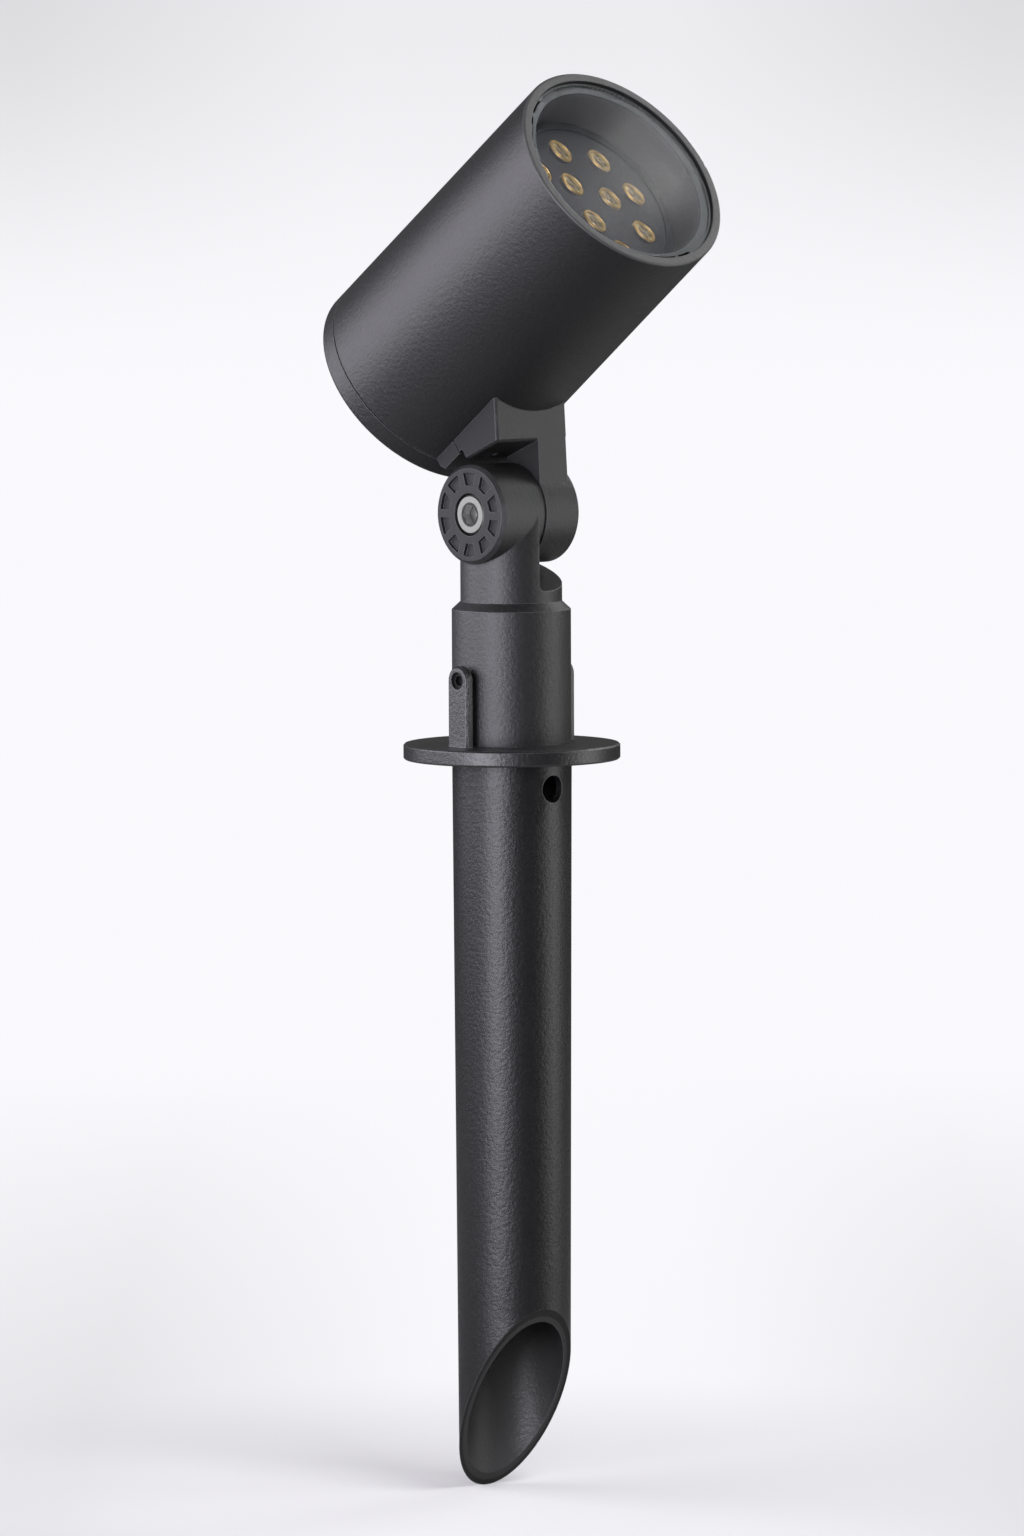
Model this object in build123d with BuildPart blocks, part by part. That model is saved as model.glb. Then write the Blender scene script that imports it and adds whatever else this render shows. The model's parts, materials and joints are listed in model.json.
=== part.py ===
"""Landscape spotlight: a round tilting head on a knuckle, a stem that turns, and a hollow ground spike.

Frame, in millimetres: the origin is the centre of the ground flange's underside, +Z is up and +X is the
way the head aims. The tilt axis runs along Y, and the pivot bolt's head looks towards -Y.
Lengths along the head are measured from the tilt axis along the aim, and lengths away from the tilt axis
are measured square to the aim.
"""

import os
from math import cos, radians, sin, sqrt

from build123d import *

os.makedirs("parts", exist_ok=True)

# Fits and gaps shared by mating pieces
running_clearance = 0.05
moving_gap = 0.3
drop_in_clearance = 0.3
seam_gap = 0.4
edge_break = 0.5
cut_margin = 1.0
cut_overrun = 10.0

# Screw sizes: thread radius, clearance hole radius, head radius, head height
m3_radius = 1.5
m3_clearance_radius = 1.7
m3_head_radius = 2.75
m3_head_height = 2.0
m4_radius = 2.0
m4_clearance_radius = 2.25
m4_head_radius = 3.5
m4_head_height = 4.0
m4_hex_flats = 3.0
m5_radius = 2.5
m5_clearance_radius = 2.75
m5_head_radius = 4.25
m5_head_height = 3.0
m5_hex_flats = 4.0
m8_radius = 4.0
m8_head_radius = 6.5
m8_hex_flats = 6.0
m8_nut_flats = 13.0

# Tilt axis and aim
pivot_height = 79.0
aim_elevation = 36.7
head_underside = 19.0

# Spike tube
tube_top_radius = 19.2
tube_tip_radius = 17.95
tube_wall = 2.5
tube_seat_depth = 1.5
tube_length = 238.3
cut_top_depth = 176.2
cut_turn = -12.0
cable_hole_radius = 4.35
cable_hole_depth = 8.7

# Ground flange and its ears
flange_radius = 34.8
flange_thickness = 5.0
ear_width = 9.4
ear_outer = 24.0
ear_thickness = 2.4
ear_hole_height = 26.2
ear_bevel = 0.8
ear_screw_radius = 2.75
ear_screw_recess = 0.9
ear_screw_hex_flats = 3.0
ear_screw_hex_depth = 1.3

# Stem post
collar_radius = 19.1
collar_top = 48.1
neck_radius = 16.3
neck_bottom = 50.7
spigot_radius = 12.0
spigot_length = 7.5
stem_bore_radius = 8.0
stem_bore_top = 44.0
lead_bore_radius = 4.0
lead_bore_y = -8.0
notch_wall_y = -2.8
notch_floor_below_pivot = 18.7
notch_floor_drop = 0.36
notch_corner_radius = 2.0
ring_groove_depth = 1.0
ring_thickness = 1.2
ring_radius = 14.6
ring_slot = 6.0

# Knuckle
knuckle_radius = 15.9
knuckle_face_y = -18.3
knuckle_bevel = 1.2
disc_radius = 16.5
disc_far_y = 15.0
disc_bevel = 0.8
pocket_count = 10
pocket_inner_radius = 9.3
pocket_outer_radius = 13.5
pocket_rib = 2.5
pocket_depth = 1.3
bolt_head_height = 5.0
bolt_head_recess = 0.3
bolt_head_bevel = 0.7
bolt_socket_depth = 3.2
bolt_seat_clearance = 0.35
bolt_end_margin = 0.7
lead_chamber_inner_radius = 5.2
lead_chamber_radius = 9.0
stem_chamber_depth = 9.0
disc_chamber_depth = 4.7
nut_seat_y = 8.0
pivot_washer_thickness = 1.6
pivot_washer_radius = 6.4
nut_height = 4.5
friction_inner_radius = 10.2
friction_outer_radius = 14.4
friction_thickness = 1.0

# Bracket and saddle key
arm_front = 14.0
arm_lean = 0.066
arm_rear = -8.4
arm_far_y = 12.4
block_near_y = -17.6
block_far_y = 12.6
block_front_rise = 23.6
block_rear_along = 9.2
block_rear_away = 15.2
block_lip_along = 7.8
block_lip_away = 19.0
block_edge = 0.7
saddle_overlap = 8.0
bracket_lead_x = 3.0
bracket_lead_y = 6.0
bracket_lead_radius = 2.6
key_rear_along = -2.3
key_bottom_away = 18.5
key_slant = 1.2

# Head barrel
head_front_radius = 37.4
head_rear_radius = 38.2
head_front = 107.2
head_rear = -9.3
cap_seam_along = -2.2
rim_width = 3.0
rim_round = 0.7
glass_recess = 1.0
glass_thickness = 3.0
seal_thickness = 1.0
seal_wall = 0.5
glass_ledge_width = 3.2
rear_wall = 4.7
bulkhead_thickness = 4.0

# Light engine: depths are measured back from the rim
plate_depth = 19.2
plate_thickness = 2.0
plate_band_width = 2.8
plate_band_height = 0.6
plate_skirt_wall = 1.6
board_depth = 23.7
board_thickness = 1.6
lens_radius = 4.2
lens_shoulder = 0.6
lens_dome_height = 1.8
lens_pocket_radius = 3.0
lens_pocket_depth = 2.3
outer_lens_circle = 19.8
outer_lens_count = 8
outer_lens_angle = 52.2
inner_lens_circle = 8.3
inner_lens_count = 3
inner_lens_angle = 6.2
chip_width = 3.5
chip_height = 0.7
chip_dome_radius = 1.4
board_screw_inset = 4.8
board_screw_count = 3
board_screw_angle = 30.0

# Rear cap
cap_round = 1.2
cap_spigot_wall = 8.7
cap_spigot_length = 6.4
cap_screw_inset = 3.7
cap_screw_count = 3
cap_screw_angle = 90.0
cap_boss_radius = 4.4
cap_boss_length = 18.0
cap_screw_reach = 12.0
cap_head_recess = 0.4
cap_seal_radius = 0.95
cap_seal_inset = 2.7

# Driver behind the bulkhead
standoff_length = 14.0
standoff_flats = 5.5
standoff_inset = 5.0
standoff_count = 3
standoff_angle = 90.0
driver_inset = 4.5
driver_thickness = 1.6
driver_screw_reach = 6.0
coil_radius = 8.0
coil_height = 12.0
coil_place = (9.0, -9.0)
capacitor_radius = 5.0
capacitor_height = 16.0
capacitor_place = (-11.0, -9.0)
terminal_size = (16.0, 8.0, 9.0)
terminal_place = (0.0, 9.5)
lead_radius = 0.7
lead_pitch = 2.4
lead_place = (-13.8, -2.0)
lead_hole_radius = 2.8

# Screws between the barrel and the bracket: place along the head and across it
bracket_screw_places = ((12.5, -10.0), (23.0, -10.0), (11.8, 8.5))
bracket_screw_reach = 4.4
spot_face_clearance = 0.4
spot_face_cut = 0.3
grommet_wall = 1.0
grommet_stand = 1.5

# Radii of the head that follow from those above
head_axis_offset = head_underside + head_rear_radius
glass_pocket_radius = head_front_radius - rim_width
cavity_radius = glass_pocket_radius - glass_ledge_width
rear_bore_radius = head_rear_radius - rear_wall
cap_spigot_radius = rear_bore_radius - drop_in_clearance
cap_spigot_inner_radius = cap_spigot_radius - cap_spigot_wall
cap_screw_circle = rear_bore_radius - cap_screw_inset
cap_seal_circle = head_rear_radius - cap_seal_inset
board_screw_circle = cavity_radius - board_screw_inset
driver_radius = rear_bore_radius - driver_inset
standoff_circle = driver_radius - standoff_inset

# Planes and axes
aim_cos = cos(radians(aim_elevation))
aim_sin = sin(radians(aim_elevation))
aim = (aim_cos, 0.0, aim_sin)
away = (-aim_sin, 0.0, aim_cos)
pivot = (0.0, 0.0, pivot_height)


def head_point(along, away_distance, across=0.0):
    """Point at a distance along the aim, away from the tilt axis and across the head."""
    return (
        along * aim_cos - away_distance * aim_sin,
        across,
        pivot_height + along * aim_sin + away_distance * aim_cos,
    )


def head_side_plane(across=0.0):
    """Side plane of the head: local x leads away from the tilt axis, local y leads along the aim."""
    return Plane(origin=head_point(0.0, 0.0, across), x_dir=away, z_dir=(0, 1, 0))


def head_cross_plane(along):
    """Plane square to the aim, centred on the head's axis: local x is across, local y leads away."""
    return Plane(origin=head_point(along, head_axis_offset), x_dir=(0, 1, 0), z_dir=aim)


def head_base_plane(away_distance):
    """Plane square to the away direction: local x leads along the aim, local y across towards +Y."""
    return Plane(origin=head_point(0.0, away_distance), x_dir=aim, z_dir=away)


def knuckle_plane(y, direction=1):
    """Plane square to the tilt axis at y: local y is up, and it looks towards +Y or -Y."""
    return Plane(origin=(0.0, y, pivot_height), x_dir=(-direction, 0, 0), z_dir=(0, direction, 0))


def ear_plane(y, side):
    """Upright plane at a distance y from the stem's axis on one side, looking outwards."""
    return Plane(origin=(0.0, side * y, 0.0), x_dir=(-side, 0, 0), z_dir=(0, side, 0))


head_axis = Axis(head_point(0.0, head_axis_offset), aim)
tilt_axis = Axis(pivot, (0, 1, 0))
tilt_plane = Plane(origin=pivot, x_dir=(0, 0, 1), z_dir=(-1, 0, 0))


def at_depth(depth):
    """Place along the aim of a depth behind the rim."""
    return head_front - depth


def barrel_radius(along):
    """Outer radius of the drafted barrel at a place along the aim."""
    share = (along - head_rear) / (head_front - head_rear)
    return head_rear_radius + share * (head_front_radius - head_rear_radius)


def hex_radius(flats):
    """Corner radius of a hexagon from its width across flats."""
    return flats / sqrt(3)


def finish(builder, name):
    """Name a piece and write its file."""
    builder.part.label = name
    export_step(builder.part, f"parts/{name}.step")


def head_turned(points):
    """Turned profile of the head: pairs of radius and place along the aim."""
    return [(head_axis_offset + radius, along) for radius, along in points]


# Spike tube: seated in the flange, drafted, with a slanted cut at the tip and a cable hole below the flange
draft = (tube_top_radius - tube_tip_radius) / tube_length
cut_top_radius = tube_top_radius - draft * cut_top_depth
cut_slope = (tube_length - cut_top_depth) / (cut_top_radius + tube_tip_radius)
cut_cos = cos(radians(cut_turn))
cut_sin = sin(radians(cut_turn))
cut_plane = Plane(origin=(0, 0, 0), x_dir=(cut_cos, cut_sin, 0), z_dir=(cut_sin, -cut_cos, 0))
with BuildPart() as spike_tube:
    with BuildSketch(Plane.XZ):
        with BuildLine():
            Polyline(
                (tube_top_radius, tube_seat_depth),
                (tube_top_radius, 0),
                (tube_tip_radius, -tube_length),
                (tube_tip_radius - tube_wall, -tube_length),
                (tube_top_radius - tube_wall, 0),
                (tube_top_radius - tube_wall, tube_seat_depth),
                close=True,
            )
        make_face()
    revolve(axis=Axis.Z)
    with BuildSketch(cut_plane):
        with BuildLine():
            Polyline(
                (-tube_tip_radius - cut_overrun, -tube_length - cut_slope * cut_overrun),
                (cut_top_radius + cut_overrun, -cut_top_depth + cut_slope * cut_overrun),
                (cut_top_radius + cut_overrun, -tube_length - cut_slope * cut_overrun),
                close=True,
            )
        make_face()
    extrude(amount=tube_top_radius + cut_overrun, both=True, mode=Mode.SUBTRACT)
    with BuildSketch(Plane.YZ):
        with Locations((0, -cable_hole_depth)):
            Circle(cable_hole_radius)
    extrude(amount=tube_top_radius + cut_overrun, mode=Mode.SUBTRACT)
finish(spike_tube, "spike_tube")

# Ground flange: round plate with the stem's bearing hole, the tube's seat and two thin ears beside the collar
flange_bore_radius = spigot_radius + running_clearance
ear_inner = ear_outer - ear_thickness
with BuildPart() as ground_flange:
    with BuildSketch(Plane.XY):
        Circle(flange_radius)
    extrude(amount=flange_thickness)
    chamfer(ground_flange.edges().filter_by(GeomType.CIRCLE), length=edge_break)
    with BuildSketch(Plane.XY):
        Circle(flange_bore_radius)
    extrude(amount=flange_thickness, mode=Mode.SUBTRACT)
    with BuildSketch(Plane.XY):
        Circle(tube_top_radius + running_clearance)
        Circle(tube_top_radius - tube_wall - running_clearance, mode=Mode.SUBTRACT)
    extrude(amount=tube_seat_depth, mode=Mode.SUBTRACT)
    for side in (-1, 1):
        with BuildSketch(ear_plane(ear_inner, side)):
            with Locations((0, ear_hole_height)):
                Circle(ear_width / 2)
            with Locations((0, (flange_thickness + ear_hole_height) / 2)):
                Rectangle(ear_width, ear_hole_height - flange_thickness)
            with Locations((0, ear_hole_height)):
                Circle(ear_screw_radius, mode=Mode.SUBTRACT)
        extrude(amount=ear_thickness)
    ear_rounds = [
        edge
        for edge in ground_flange.edges().filter_by(GeomType.CIRCLE)
        if edge.center().Z > ear_hole_height and abs(edge.center().Y) > ear_outer - edge_break
    ]
    chamfer(ear_rounds, length=ear_bevel)
finish(ground_flange, "ground_flange")

# Ear screws: socket grub screws, their tips just off the collar
ear_screw_tip = collar_radius + moving_gap
ear_screw_end = ear_outer - ear_screw_recess
with BuildPart() as ear_screws:
    for side in (-1, 1):
        with BuildSketch(ear_plane(ear_screw_tip, side)):
            with Locations((0, ear_hole_height)):
                Circle(ear_screw_radius)
        extrude(amount=ear_screw_end - ear_screw_tip)
    for side in (-1, 1):
        with BuildSketch(ear_plane(ear_screw_end, side)):
            with Locations((0, ear_hole_height)):
                RegularPolygon(hex_radius(ear_screw_hex_flats), 6)
        extrude(amount=-ear_screw_hex_depth, mode=Mode.SUBTRACT)
finish(ear_screws, "ear_screws")

# Stem post: collar, neck and near half of the knuckle, hollow for the inner lead
bolt_hole_radius = m8_radius + running_clearance
bolt_seat_radius = m8_head_radius + bolt_seat_clearance
bolt_seat_y = knuckle_face_y + bolt_head_recess + bolt_head_height
ring_top = -moving_gap
notch_plane = Plane(
    origin=(0, 0, pivot_height - notch_floor_below_pivot),
    x_dir=(0, 1, 0),
    z_dir=(1, 0, -notch_floor_drop),
)
friction_recess = friction_thickness - moving_gap + running_clearance
pocket_rib_length = pocket_outer_radius - pocket_inner_radius + cut_margin
with BuildPart() as stem_post:
    with BuildSketch(Plane.XZ):
        with BuildLine():
            Polyline(
                (0, -spigot_length + flange_thickness),
                (spigot_radius, -spigot_length + flange_thickness),
                (spigot_radius, flange_thickness),
                (collar_radius, flange_thickness),
                (collar_radius, collar_top),
                (neck_radius, neck_bottom),
                (neck_radius, pivot_height),
                (0, pivot_height),
                close=True,
            )
        make_face()
    revolve(axis=Axis.Z)
    # Notch beside the knuckle, which the bracket's half turns in: a sloped floor, a wall and a round corner
    with BuildSketch(notch_plane) as notch_profile:
        with Locations((notch_wall_y, 0)):
            Rectangle(3 * neck_radius, 3 * neck_radius, align=(Align.MIN, Align.MIN))
        fillet(
            notch_profile.vertices().sort_by_distance((notch_wall_y, 0, 0))[0],
            radius=notch_corner_radius,
        )
    extrude(amount=2 * neck_radius, both=True, mode=Mode.SUBTRACT)
    # Near half of the knuckle, turned about the tilt axis
    with BuildSketch(tilt_plane):
        with BuildLine():
            Polyline(
                (0, 0),
                (knuckle_radius, 0),
                (knuckle_radius, knuckle_face_y + knuckle_bevel),
                (knuckle_radius - knuckle_bevel, knuckle_face_y),
                (0, knuckle_face_y),
                close=True,
            )
        make_face()
    revolve(axis=tilt_axis)
    # Ten pockets around the bolt, with ribs between them
    with BuildSketch(knuckle_plane(knuckle_face_y, -1)):
        Circle(pocket_outer_radius)
        Circle(pocket_inner_radius, mode=Mode.SUBTRACT)
        with PolarLocations((pocket_inner_radius + pocket_outer_radius) / 2, pocket_count):
            Rectangle(pocket_rib_length, pocket_rib, mode=Mode.SUBTRACT)
    extrude(amount=-pocket_depth, mode=Mode.SUBTRACT)
    # Bolt hole and its seat
    with BuildSketch(knuckle_plane(0, -1)):
        Circle(bolt_hole_radius)
    extrude(amount=-knuckle_face_y, mode=Mode.SUBTRACT)
    with BuildSketch(knuckle_plane(knuckle_face_y, -1)):
        Circle(bolt_seat_radius)
    extrude(amount=-(bolt_seat_y - knuckle_face_y), mode=Mode.SUBTRACT)
    # Lead chamber around the bolt, and the friction washer's recess
    with BuildSketch(knuckle_plane(0, -1)):
        Circle(lead_chamber_radius)
        Circle(lead_chamber_inner_radius, mode=Mode.SUBTRACT)
    extrude(amount=stem_chamber_depth, mode=Mode.SUBTRACT)
    with BuildSketch(knuckle_plane(0, -1)):
        Circle(friction_outer_radius)
        Circle(friction_inner_radius, mode=Mode.SUBTRACT)
    extrude(amount=friction_recess, mode=Mode.SUBTRACT)
    # Lead bores down to the spigot
    with BuildSketch(Plane.XY.offset(flange_thickness - spigot_length)):
        Circle(stem_bore_radius)
    extrude(amount=stem_bore_top - flange_thickness + spigot_length, mode=Mode.SUBTRACT)
    with BuildSketch(Plane.XY.offset(stem_bore_top - lead_bore_radius)):
        with Locations((0, lead_bore_y)):
            Circle(lead_bore_radius)
    extrude(
        amount=pivot_height - lead_chamber_inner_radius - stem_bore_top + lead_bore_radius - m8_radius / 2,
        mode=Mode.SUBTRACT,
    )
    # Groove for the retaining ring
    with BuildSketch(Plane.XY.offset(ring_top - ring_thickness)):
        Circle(spigot_radius)
        Circle(spigot_radius - ring_groove_depth, mode=Mode.SUBTRACT)
    extrude(amount=ring_thickness, mode=Mode.SUBTRACT)
finish(stem_post, "stem_post")

# Stem ring: open retaining ring under the flange
with BuildPart() as stem_ring:
    with BuildSketch(Plane.XY.offset(ring_top - ring_thickness)):
        Circle(ring_radius)
        Circle(spigot_radius - ring_groove_depth, mode=Mode.SUBTRACT)
        with Locations((-ring_radius, 0)):
            Rectangle(ring_radius, ring_slot, mode=Mode.SUBTRACT)
    extrude(amount=ring_thickness)
finish(stem_ring, "stem_ring")

# Pivot bolt: low socket head in the stem's half, shank through both halves
bolt_end_y = disc_far_y - bolt_end_margin
with BuildPart() as pivot_bolt:
    with BuildSketch(knuckle_plane(bolt_seat_y, -1)):
        Circle(m8_head_radius)
    extrude(amount=bolt_head_height)
    head_face = pivot_bolt.faces().sort_by(Axis.Y)[0]
    chamfer(head_face.edges(), length=bolt_head_bevel)
    with BuildSketch(knuckle_plane(bolt_seat_y, 1)):
        Circle(m8_radius)
    extrude(amount=bolt_end_y - bolt_seat_y)
    end_face = pivot_bolt.faces().sort_by(Axis.Y)[-1]
    chamfer(end_face.edges(), length=edge_break)
    with BuildSketch(knuckle_plane(bolt_seat_y - bolt_head_height, -1)):
        RegularPolygon(hex_radius(m8_hex_flats), 6)
    extrude(amount=-bolt_socket_depth, mode=Mode.SUBTRACT)
finish(pivot_bolt, "pivot_bolt")

# Friction washer between the knuckle halves, set into the stem's half
with BuildPart() as friction_washer:
    with BuildSketch(knuckle_plane(-friction_recess, 1)):
        Circle(friction_outer_radius)
        Circle(friction_inner_radius, mode=Mode.SUBTRACT)
    extrude(amount=friction_thickness)
finish(friction_washer, "friction_washer")

# Bracket: far half of the knuckle, arm and saddle block, one casting
barrel_low = head_axis_offset - barrel_radius(block_rear_along)
barrel_outline = head_turned(
    (
        (0.0, head_rear),
        (barrel_radius(head_rear), head_rear),
        (barrel_radius(head_front), head_front),
        (0.0, head_front),
    )
)
saddle_top = barrel_low + saddle_overlap
block_front_x = arm_front - arm_lean * block_front_rise
front_low_along = block_front_x * aim_cos + block_front_rise * aim_sin
front_low_away = -block_front_x * aim_sin + block_front_rise * aim_cos
front_top_rise = (saddle_top + arm_front * aim_sin) / (aim_cos + arm_lean * aim_sin)
front_top_x = arm_front - arm_lean * front_top_rise
front_top_along = front_top_x * aim_cos + front_top_rise * aim_sin
block_rear_x, _, block_rear_height = head_point(block_rear_along, block_rear_away)
with BuildPart() as bracket:
    with BuildSketch(head_side_plane(block_near_y)):
        with BuildLine():
            Polyline(
                (block_rear_away, block_rear_along),
                (front_low_away, front_low_along),
                (saddle_top, front_top_along),
                (saddle_top, block_lip_along),
                (block_lip_away, block_lip_along),
                (block_lip_away, block_rear_along),
                close=True,
            )
        make_face()
    extrude(amount=block_far_y - block_near_y)
    # Break the long edges of the near side and the lower front edge
    long_edges = bracket.faces().sort_by(Axis.Y)[0].edges().sort_by(SortBy.LENGTH)[-3:-1]
    low_front = head_point(front_low_along, front_low_away)
    front_edge = bracket.edges().filter_by(Axis.Y).sort_by_distance(low_front)[0]
    chamfer([*long_edges, front_edge], length=block_edge)
    with BuildSketch(Plane.XZ.offset(-moving_gap)):
        with BuildLine():
            Polyline(
                (arm_rear, pivot_height),
                (arm_front, pivot_height),
                (front_top_x, pivot_height + front_top_rise),
                (block_rear_x, block_rear_height),
                close=True,
            )
        make_face()
    extrude(amount=-(arm_far_y - moving_gap))
    with BuildSketch(knuckle_plane(moving_gap, 1)):
        Circle(disc_radius)
    extrude(amount=disc_far_y - moving_gap)
    far_face = bracket.faces().sort_by(Axis.Y)[-1]
    chamfer(far_face.edges(), length=disc_bevel)
    # Saddle that takes the barrel
    with BuildSketch(head_side_plane()):
        with BuildLine():
            Polyline(*barrel_outline, close=True)
        make_face()
    revolve(axis=head_axis, mode=Mode.SUBTRACT)
    # Lead chamber around the bolt, bolt hole, and the nut's pocket
    with BuildSketch(knuckle_plane(moving_gap, 1)):
        Circle(lead_chamber_radius)
        Circle(lead_chamber_inner_radius, mode=Mode.SUBTRACT)
    extrude(amount=disc_chamber_depth, mode=Mode.SUBTRACT)
    with BuildSketch(knuckle_plane(moving_gap, 1)):
        Circle(bolt_hole_radius)
    extrude(amount=disc_far_y, mode=Mode.SUBTRACT)
    with BuildSketch(knuckle_plane(nut_seat_y, 1)):
        RegularPolygon(hex_radius(m8_nut_flats + drop_in_clearance), 6)
    extrude(amount=disc_far_y - nut_seat_y, mode=Mode.SUBTRACT)
    # Channel from the chamber up to the saddle for the inner lead
    with BuildSketch(Plane.XY.offset(pivot_height + lead_chamber_inner_radius)):
        with Locations((bracket_lead_x, bracket_lead_y - bracket_lead_radius)):
            Circle(bracket_lead_radius)
    extrude(amount=front_top_rise, mode=Mode.SUBTRACT)
    # Tapped holes for the screws from inside the barrel
    with BuildSketch(head_base_plane(barrel_low + m5_radius)):
        with Locations(*bracket_screw_places):
            Circle(m5_radius)
    extrude(amount=-(bracket_screw_reach + m5_radius + edge_break), mode=Mode.SUBTRACT)
finish(bracket, "bracket")

# Pivot washer and captive nut in the bracket's pocket
with BuildPart() as pivot_washer:
    with BuildSketch(knuckle_plane(nut_seat_y, 1)):
        Circle(pivot_washer_radius)
        Circle(m8_radius + drop_in_clearance, mode=Mode.SUBTRACT)
    extrude(amount=pivot_washer_thickness)
finish(pivot_washer, "pivot_washer")

with BuildPart() as pivot_nut:
    with BuildSketch(knuckle_plane(nut_seat_y + pivot_washer_thickness, 1)):
        RegularPolygon(hex_radius(m8_nut_flats), 6)
        Circle(bolt_hole_radius, mode=Mode.SUBTRACT)
    extrude(amount=nut_height)
finish(pivot_nut, "pivot_nut")

# Saddle key: low pad behind the saddle block
key_front_along = block_lip_along - edge_break
with BuildPart() as saddle_key:
    with BuildSketch(head_side_plane(block_near_y)):
        with BuildLine():
            Polyline(
                (key_bottom_away, key_rear_along + key_slant),
                (key_bottom_away, key_front_along),
                (saddle_top, key_front_along),
                (saddle_top, key_rear_along),
                (barrel_low + key_slant, key_rear_along),
                close=True,
            )
        make_face()
    extrude(amount=block_far_y - block_near_y)
    with BuildSketch(head_side_plane()):
        with BuildLine():
            Polyline(*barrel_outline, close=True)
        make_face()
    revolve(axis=head_axis, mode=Mode.SUBTRACT)
finish(saddle_key, "saddle_key")

# Head housing: turned barrel with rim, glass pocket, cavity, bulkhead and open rear
ledge_along = at_depth(glass_recess + glass_thickness + seal_thickness)
bulkhead_front = at_depth(board_depth + board_thickness)
bulkhead_rear = bulkhead_front - bulkhead_thickness
cap_boss_along = cap_seam_along - seam_gap + cap_spigot_length
grommet_along = (bracket_lead_x + barrel_low * aim_sin) / aim_cos
grommet_across = bracket_lead_y - bracket_lead_radius
grommet_top = head_axis_offset - rear_bore_radius + grommet_stand


def spot_face_away(across):
    """Level of a flat for a screw head on the barrel's round inner wall."""
    nearest = max(abs(across) - m5_head_radius - spot_face_clearance, 0.0)
    return head_axis_offset - sqrt(rear_bore_radius**2 - nearest**2) - spot_face_cut


with BuildPart() as head_housing:
    with BuildSketch(head_side_plane()):
        with BuildLine():
            Polyline(
                *head_turned(
                    (
                        (barrel_radius(cap_seam_along), cap_seam_along),
                        (barrel_radius(head_front), head_front),
                        (glass_pocket_radius, head_front),
                        (glass_pocket_radius, ledge_along),
                        (cavity_radius, ledge_along),
                        (cavity_radius, bulkhead_front),
                        (0.0, bulkhead_front),
                        (0.0, bulkhead_rear),
                        (rear_bore_radius, bulkhead_rear),
                        (rear_bore_radius, cap_seam_along),
                    )
                ),
                close=True,
            )
        make_face()
    revolve(axis=head_axis)
    front_face = head_housing.faces().sort_by(head_axis)[-1]
    fillet(front_face.edges().sort_by(SortBy.LENGTH)[-1], radius=rim_round)
    # Bosses for the rear cap's screws
    with BuildSketch(head_cross_plane(cap_boss_along)):
        with PolarLocations(cap_screw_circle, cap_screw_count, cap_screw_angle):
            Circle(cap_boss_radius)
    extrude(amount=cap_boss_length)
    with BuildSketch(head_cross_plane(cap_boss_along)):
        with PolarLocations(cap_screw_circle, cap_screw_count, cap_screw_angle):
            Circle(m4_radius)
    extrude(amount=cap_screw_reach + edge_break, mode=Mode.SUBTRACT)
    # Tapped holes in the bulkhead for the LED board and the driver's standoffs, and the lead hole
    with BuildSketch(head_cross_plane(bulkhead_rear)):
        with PolarLocations(board_screw_circle, board_screw_count, board_screw_angle):
            Circle(m3_radius)
        with Locations(lead_place):
            Circle(lead_hole_radius)
    extrude(amount=bulkhead_thickness, mode=Mode.SUBTRACT)
    # Hole for the lead grommet above the bracket's channel
    with BuildSketch(head_base_plane(barrel_low - cut_margin)):
        with Locations((grommet_along, grommet_across)):
            Circle(bracket_lead_radius + grommet_wall)
    extrude(amount=rear_bore_radius / 2, mode=Mode.SUBTRACT)
    # Holes and flats for the screws into the bracket
    for along, across in bracket_screw_places:
        with BuildSketch(head_base_plane(barrel_low - cut_margin)):
            with Locations((along, across)):
                Circle(m5_clearance_radius)
        extrude(amount=rear_bore_radius / 2, mode=Mode.SUBTRACT)
        with BuildSketch(head_base_plane(spot_face_away(across))):
            with Locations((along, across)):
                Circle(m5_head_radius + spot_face_clearance)
        extrude(amount=rear_bore_radius / 2, mode=Mode.SUBTRACT)
finish(head_housing, "head_housing")


# Bracket screws: low socket screws, heads on the barrel's inner flats, tips in the bracket
with BuildPart() as bracket_screws:
    for along, across in bracket_screw_places:
        seat = spot_face_away(across)
        with BuildSketch(head_base_plane(seat)):
            with Locations((along, across)):
                Circle(m5_head_radius)
        extrude(amount=m5_head_height)
        with BuildSketch(head_base_plane(seat)):
            with Locations((along, across)):
                Circle(m5_radius)
        extrude(amount=-(seat - barrel_low + bracket_screw_reach))
        with BuildSketch(head_base_plane(seat + m5_head_height)):
            with Locations((along, across)):
                RegularPolygon(hex_radius(m5_hex_flats), 6)
        extrude(amount=-m5_head_height / 2, mode=Mode.SUBTRACT)
finish(bracket_screws, "bracket_screws")

# Lead grommet: bush in the barrel's wall above the bracket's channel
with BuildPart() as lead_grommet:
    with BuildSketch(head_base_plane(barrel_low - cut_margin)):
        with Locations((grommet_along, grommet_across)):
            Circle(bracket_lead_radius + grommet_wall)
            Circle(bracket_lead_radius, mode=Mode.SUBTRACT)
    extrude(amount=grommet_top - barrel_low + cut_margin)
    with BuildSketch(head_side_plane()):
        with BuildLine():
            Polyline(*barrel_outline, close=True)
        make_face()
    revolve(axis=head_axis, mode=Mode.INTERSECT)
finish(lead_grommet, "lead_grommet")

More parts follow.
